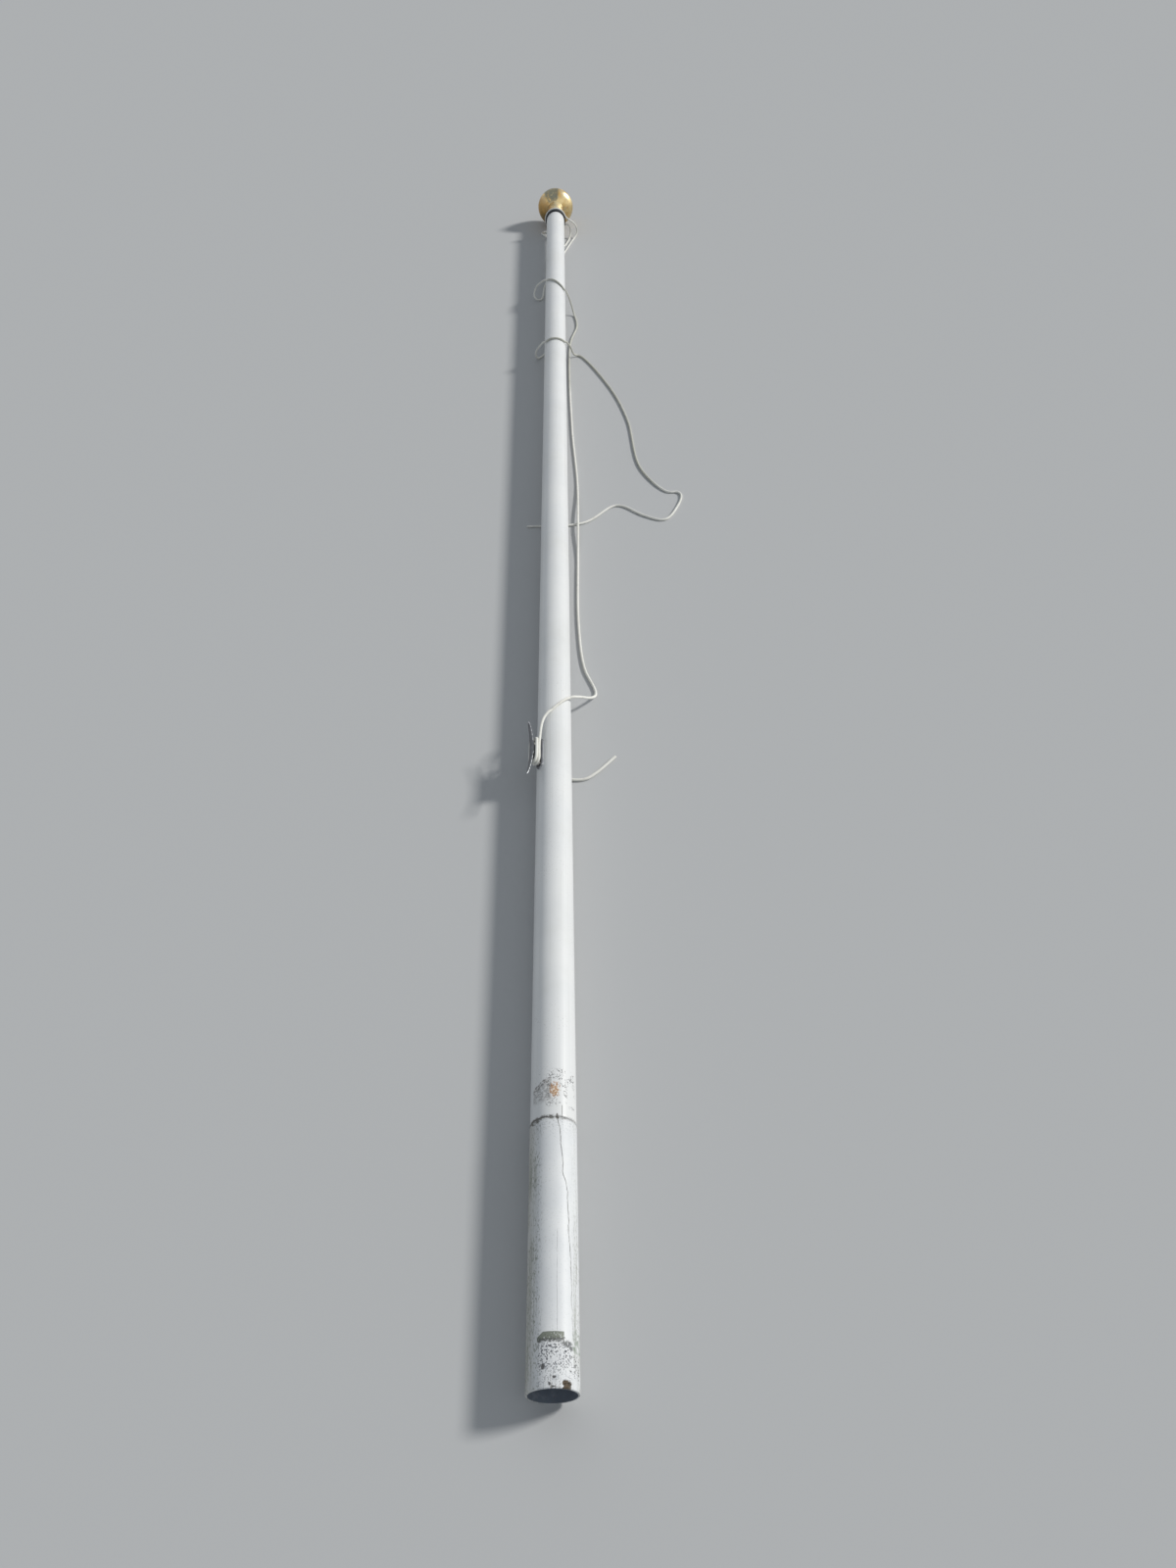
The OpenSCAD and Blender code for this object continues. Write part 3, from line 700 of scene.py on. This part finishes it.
def fused(name, parts, voxel, smooth_steps):
    """Joins closed shells into one skin by remeshing them, then eases the steps of the grid."""
    mesh = bpy.data.meshes.new(name)
    points, faces, start = [], [], 0
    for part, part_faces in parts:
        points.append(part)
        faces += [(f + start).tolist() for f in part_faces]
        start += len(part)
    mesh.from_pydata(np.vstack(points), [], [face for f in faces for face in f])
    draft = bpy.data.objects.new(name, mesh)
    bpy.context.collection.objects.link(draft)
    remesh = draft.modifiers.new("fuse", "REMESH")
    remesh.mode, remesh.voxel_size = "VOXEL", voxel
    ease = draft.modifiers.new("ease", "SMOOTH")
    ease.iterations, ease.factor = smooth_steps, 0.5
    done = draft.evaluated_get(bpy.context.evaluated_depsgraph_get()).to_mesh()
    co = np.empty(len(done.vertices) * 3)
    done.vertices.foreach_get("co", co)
    quads = np.empty(len(done.loops), int)
    done.loops.foreach_get("vertex_index", quads)
    bpy.data.objects.remove(draft)
    return co.reshape(-1, 3), quads.reshape(-1, 4)


def edge_wear(points, quads):
    """How far each point stands out from the middle of its neighbours, as a share of the greatest."""
    a = np.concatenate([quads[:, k] for k in range(4)])
    b = np.concatenate([quads[:, (k + 1) % 4] for k in range(4)])
    total, count = np.zeros_like(points), np.zeros(len(points))
    np.add.at(total, a, points[b])
    np.add.at(count, a, 1)
    away = points - total / np.maximum(count, 1)[:, None]
    p, q, r = points[quads[:, 0]], points[quads[:, 1]], points[quads[:, 2]]
    face = np.cross(q - p, r - p)
    normal = np.zeros_like(points)
    np.add.at(normal, quads.ravel(), np.repeat(face, 4, axis=0))
    normal /= np.maximum(np.linalg.norm(normal, axis=1), 1e-15)[:, None]
    out = np.sum(away * normal, axis=1)
    return np.clip(out / np.percentile(out, 99.0), 0, 1)


cleat_finish, w, feed = new_finish("cast_grey", Metallic=0.85)
spot = along_pole(w)[0]
cast = spot.noise(700.0, 4.0, rough=0.65)
cloud = spot.noise(130.0, 4.0)
worn = w.node("ShaderNodeAttribute", {"attribute_name": "worn"}, out=2)
colour = cloud.rise(0.2, 0.8).mix((0.095, 0.10, 0.11), (0.165, 0.17, 0.18))
colour = (worn.rise(0.2, 0.7) * (0.6 + cast * 0.6)).mix(colour, (0.76, 0.78, 0.80))
feed(Base_Color=colour, Roughness=0.44 + cast * 0.2 - worn * 0.2)
feed(Normal=w.bump(cast, 0.00012, 0.7))

cleat_parts = [closed_stack(*shape) for shape in (foot_surface(), stem_surface(), horn_surface())]
cleat_points, cleat_quads = fused("cleat_draft", cleat_parts, cleat_voxel, cleat_ease)
put_piece("cleat_casting", on_cleat(*cleat_points.T), [cleat_quads], cleat_finish, "cleat_metal", "cleat",
          worn=edge_wear(cleat_points, cleat_quads))


# Screws: two stainless screws with low domed heads and a cross recess, driven through the cleat's foot.
screw_off = 0.024
screw_head_r = 0.004
screw_head_h = 0.0020
screw_r = 0.002
screw_tip_r = 0.0004
screw_len = 0.014
screw_sunk = 0.0004
cross_half = 0.00055
cross_reach = 0.0024
cross_depth = 0.0012

screw_finish, w, feed = new_finish("plain_steel", Metallic=1.0)
spot = along_pole(w)[0]
turning = spot.noise(900.0, 3.0)
tint = spot.noise(260.0, 3.0)
feed(Base_Color=tint.rise(0.35, 0.7).mix((0.42, 0.41, 0.40), (0.60, 0.60, 0.60)))
feed(Roughness=0.3 + turning * 0.25, Normal=w.bump(turning, 0.00004, 0.6))


def screw_surface(rings=22, columns=64):
    """The head is a low dome with a cross sunk into it: the surface drops where either arm of the cross is
    near, by a smooth step. The shank is a plain round bar with a blunt point."""
    reach = np.linspace(0.03, 1, rings) * screw_head_r
    a = np.linspace(0, 2 * math.pi, columns, endpoint=False)[None, :]
    x, y = reach[:, None] * np.cos(a), reach[:, None] * np.sin(a)
    arm = np.minimum(np.maximum(np.abs(x) / cross_half, np.abs(y) / cross_reach),
                     np.maximum(np.abs(y) / cross_half, np.abs(x) / cross_reach))
    sunk = 1 / (1 + np.exp((arm - 1) * 12))
    height = screw_head_h * (1 - 0.62 * (reach[:, None] / screw_head_r) ** 2.6) - cross_depth * sunk
    shank = np.array([(screw_head_r, 0.0), (screw_r, 0.0), (screw_r, -screw_len * 0.9),
                      (screw_tip_r, -screw_len)])
    out = np.vstack([height, shank[:, 1:] + 0 * a])
    side = np.vstack([x, shank[:, :1] * np.cos(a)])
    along = np.vstack([y, shank[:, :1] * np.sin(a)])
    return out, side, along


for end, way in (("low", -1), ("high", 1)):
    points, faces = closed_stack(*screw_surface())
    points = on_cleat(points[:, 0] + foot_top - screw_sunk, points[:, 1], points[:, 2] + way * screw_off)
    put_piece(f"cleat_screw_{end}_head", points, faces, screw_finish, "screw_steel", f"cleat_screw_{end}")


# Halyard: one braided polyester cord, 5 mm thick, gone grey with weather and with painted shade. It turns on
# the cap's seat. One side runs down to the cleat and is made fast there, and the other lies along the pole to
# its free end.
rope_d = 0.005
rope_r = rope_d / 2
rope_sides = 24
rope_step = 0.0010
rope_ease = 40
rope_gap = 0.0001
drawn_within = 0.008
cap_clear = 0.02
cleat_clear = 0.09
cleat_blend = 0.04
round_end_len = 0.0018
plait_around = 6
plait_long = 0.0042
plait_relief = 0.00030
turn_r = 0.0338
turn_at = 3.5655
turn_from = -35
turn_to = -345
winding_len = 0.062
winding_w = 0.0215
# Knots of the winding on the cleat: angle from the high end, height from the pole's axis, share of the width
winding_marks = np.array([(90, 0.0377, 1.0), (285, 0.0377, 1.0), (440, 0.0430, 1.0), (600, 0.0430, 1.0),
                          (636, 0.0440, 1.05)])
# Routes in mm from the pole's right-left middle, along the ground from the butt, and above the ground
lead_route = np.array([
    (47, 3569, 56), (62, 3574, 45), (73, 3576, 26), (72, 3571, 12), (64, 3556, 3.5), (44, 3480, 2.5),
    (-34, 3120, 2.5), (-39, 3035, 2.5), (-46, 3013, 3), (-58, 3009, 6),
    (-65, 3019, 15), (-59, 3026, 34), (-38, 2997, 64), (-22, 2973, 79.5), (-1, 2946, 87.5),
    (21, 2919, 80.5), (36, 2908, 60), (47, 2914, 29), (55, 2904, 6), (63, 2820, 2.5), (43, 2700, 2.5),
    (42, 2200, 2.5), (52, 1920, 2.5), (51, 1742, 8.5), (49, 1600, 2.5), (47, 1380, 2.5),
    (56, 1240, 2.5), (76, 1164, 3), (66, 1137, 17), (43, 1109, 43), (25, 1085, 62), (5, 1057, 71),
    (-17, 1026, 69.5)])
tail_route = np.array([
    (-36.5, 988, 46), (-35.5, 985, 20), (-31, 977, 6), (-23, 971, 2.5), (25, 943, 2.5),
    (52, 943, 2.5), (70, 957, 2.5), (106, 999, 2.5)])
return_route = np.array([
    (37, 3566, 44), (47, 3568, 37), (51, 3568, 19), (48, 3555, 4.5), (37, 3505, 2.5), (28, 3476, 2.5),
    (12, 3464, 2.5), (0, 3478, 2.5), (-8, 3560, 2.5), (-20, 3598, 2.5), (-34, 3611, 2.5),
    (-47, 3602, 2.5), (-25, 3545, 2.5), (-12, 3240, 9), (-3, 3130, 2.5),
    (-28, 2632, 2.5), (-50, 2592, 6), (-53, 2575, 30), (-39, 2559, 57),
    (-22, 2548, 76), (1, 2545, 84.5), (23, 2549, 76), (39, 2566, 53), (47, 2596, 24), (54, 2613, 7),
    (65, 2619, 2.5), (78, 2604, 2.5), (150, 2405, 2.5), (184, 2238, 2.5), (206, 1985, 2.5),
    (262, 1884, 2.5), (284, 1885, 2.5), (291, 1872, 2.5), (280, 1825, 2.5), (244, 1764, 2.5),
    (202, 1780, 2.5), (142, 1824, 2.5), (62, 1748, 2.5), (-62, 1732, 2.5)])


def on_ground(route):
    """A route's points in metres, where the object lies."""
    return route / 1000 + np.array([0.0, butt_y, 0.0])


def evenly(points, step):
    """The same line cut again into equal steps."""
    lengths = np.concatenate([[0], np.cumsum(np.linalg.norm(np.diff(points, axis=0), axis=1))])
    places = np.linspace(0, lengths[-1], max(2, round(lengths[-1] / step) + 1))
    return np.stack([np.interp(places, lengths, points[:, k]) for k in range(3)], -1)


def through(points, samples=24):
    """A smooth curve through the points: between two of them a cubic, whose slope at each point comes from
    the parabola through its neighbours, over steps that go with the root of the distance."""
    h = np.sqrt(np.linalg.norm(np.diff(points, axis=0), axis=1))[:, None]
    chord = np.diff(points, axis=0) / h
    slope = np.vstack([chord[:1], (chord[:-1] * h[1:] + chord[1:] * h[:-1]) / (h[1:] + h[:-1]), chord[-1:]])
    t = np.linspace(0, 1, samples, endpoint=False)[None, :, None]
    p, q, m, n, h = points[:-1, None], points[1:, None], slope[:-1, None], slope[1:, None], h[:, None]
    curve = ((2 * t ** 3 - 3 * t ** 2 + 1) * p + (t ** 3 - 2 * t ** 2 + t) * h * m
             + (3 * t ** 2 - 2 * t ** 3) * q + (t ** 3 - t ** 2) * h * n)
    return np.vstack([curve.reshape(-1, 3), points[-1:]])


def laid(points):
    """Eases a path as a limp cord would lie: each time it is lifted off the ground and out of the shaft,
    and what is just over the shaft is drawn down on it."""
    for _ in range(rope_ease):
        along = points[:, 1] - butt_y
        up = points[:, 2] - butt_height - along * math.sin(fall)
        away = np.hypot(points[:, 0], up)
        gap = away - shaft_r - rope_r - rope_gap
        over = np.clip(up / away * 3 - 1.6, 0, 1) * (gap < drawn_within) * (along < shaft_to - cap_clear)
        over = over * np.clip((along - cleat_at - cleat_clear) / cleat_blend, 0, 1)
        push = -np.where(gap < 0, gap, gap * over * 0.5) / away
        points = points + np.stack([points[:, 0] * push, 0 * push, up * push], -1)
        points[:, 2] = np.maximum(points[:, 2], rope_r + rope_gap)
        points[1:-1] = points[1:-1] / 2 + (points[:-2] + points[2:]) / 4
    points[:, 2] = np.maximum(points[:, 2], rope_r + rope_gap)
    return points


def braided(path):
    """A tube along the path. Its radius rises in diamonds where two sets of strands cross, one running
    round each way: the height is the product of the sines of the two strand phases. The far end shrinks
    like a half ball. Gives the points, the faces and the height of the strands as a mask."""
    way = np.gradient(path, axis=0)
    way /= np.linalg.norm(way, axis=1)[:, None]

    def carry(side, along):
        side = side - np.dot(side, along) * along
        return side / np.linalg.norm(side)

    start = np.cross(way[0], (0.0, 1.0, 0.0))
    side = np.array(list(accumulate(way[1:], carry, initial=carry(start, way[0]))))
    other = np.cross(way, side)
    a = np.linspace(0, 2 * math.pi, rope_sides, endpoint=False)[None, :]
    s = np.arange(len(path))[:, None] * rope_step
    u, v = plait_around / 2 * a / math.pi / 2, s / plait_long
    strands = np.abs(np.sin(math.pi * (2 * u + v)) * np.sin(math.pi * (2 * u - v))) ** 0.5
    ball = np.sqrt(1 - (1 - np.clip(s[::-1] / round_end_len, 0, 1)) ** 2) * 0.98 + 0.02
    r = (rope_r - plait_relief * 0.65 + plait_relief * strands) * ball
    points = path[:, None] + r[..., None] * (np.cos(a)[..., None] * side[:, None]
                                             + np.sin(a)[..., None] * other[:, None])
    points, faces = closed_stack(*(points[..., k] for k in range(3)))
    return points, faces, np.concatenate([strands.ravel(), [0.5, 0.5]])


def turn_path():
    """The halyard's part turn on the cap's seat, under it, up the left side and over the top."""
    a = np.radians(np.linspace(turn_from, turn_to, 30))
    return on_pole(turn_r * np.cos(a), turn_r * np.sin(a), np.full_like(a, turn_at))


def winding_path():
    """The rounds on the cleat: a racetrack about the stem that climbs from one layer to the next."""
    a = np.arange(winding_marks[0, 0], winding_marks[-1, 0] + 1, 6.0)
    height = np.interp(a, winding_marks[:, 0], winding_marks[:, 1])
    width = np.interp(a, winding_marks[:, 0], winding_marks[:, 2])
    c, s = np.cos(np.radians(a)), np.sin(np.radians(a))
    r = (winding_w - rope_d) / 2 * width
    straight = (winding_len - winding_w) / 2
    return on_cleat(height, r * s, straight * np.sign(c + 1e-9) + r * c)


rope_finish, w, feed = new_finish("braided_polyester", IOR=1.5, Specular_IOR_Level=0.3)
spot, right, _, along, _ = along_pole(w)
strands = w.node("ShaderNodeAttribute", {"attribute_name": "strands"}, out=2)
soiled = spot.noise(11.0, 5.0, rough=0.6)
fibre = spot.noise(1500.0, 2.0)
colour = soiled.rise(0.35, 0.7).mix((0.88, 0.87, 0.82), (0.79, 0.78, 0.72))
# Where the strands dip, between their crossings, the colour is darker: painted shade in the gaps of the
# braid.
colour = (strands.rise(0.45, 0.1) * 0.35).mix(colour, (0.45, 0.44, 0.40))
colour = (spot.noise(45.0, 4.0).rise(0.58, 0.72) * 0.35).mix(colour, (0.42, 0.41, 0.37))
# The stretch that crosses over the pole, 2.45 to 3.05 m from the butt, except on its left, is painted a
# darker olive-grey: painted shade. The loop out to the right is darkened the same way.
loop = right.rise(0.08, 0.13) * along.rise(1.88, 1.95)
greyed_and_shaded = w.maths("MAXIMUM", along.between(2.45, 3.05, 0.08) * right.rise(-0.032, -0.016), loop)
greyed_and_shaded = greyed_and_shaded * (0.35 + soiled * 0.45)
colour = greyed_and_shaded.mix(colour, (0.40, 0.40, 0.33))
feed(Base_Color=colour, Roughness=0.78 + fibre * 0.15)
feed(Normal=w.bump(fibre, 0.00008, 0.6))

turn = turn_path()
winding = winding_path()
lead = np.vstack([turn, on_ground(lead_route), winding, on_ground(tail_route)])
lead_path = evenly(laid(evenly(through(lead), rope_step)), rope_step)
back = np.vstack([turn[:1], on_ground(return_route)])
return_path = evenly(laid(evenly(through(back), rope_step)), rope_step)


for name, path, nodes in (
        ("halyard_to_cleat", lead_path,
         ("halyard_turn", "halyard_lead", "halyard_winding", "halyard_tail")),
        ("halyard_free_side", return_path, ("halyard_return",))):
    points, faces, strands = braided(path)
    rope = put_piece(name, points, faces, rope_finish, "rope", *nodes, strands=strands)
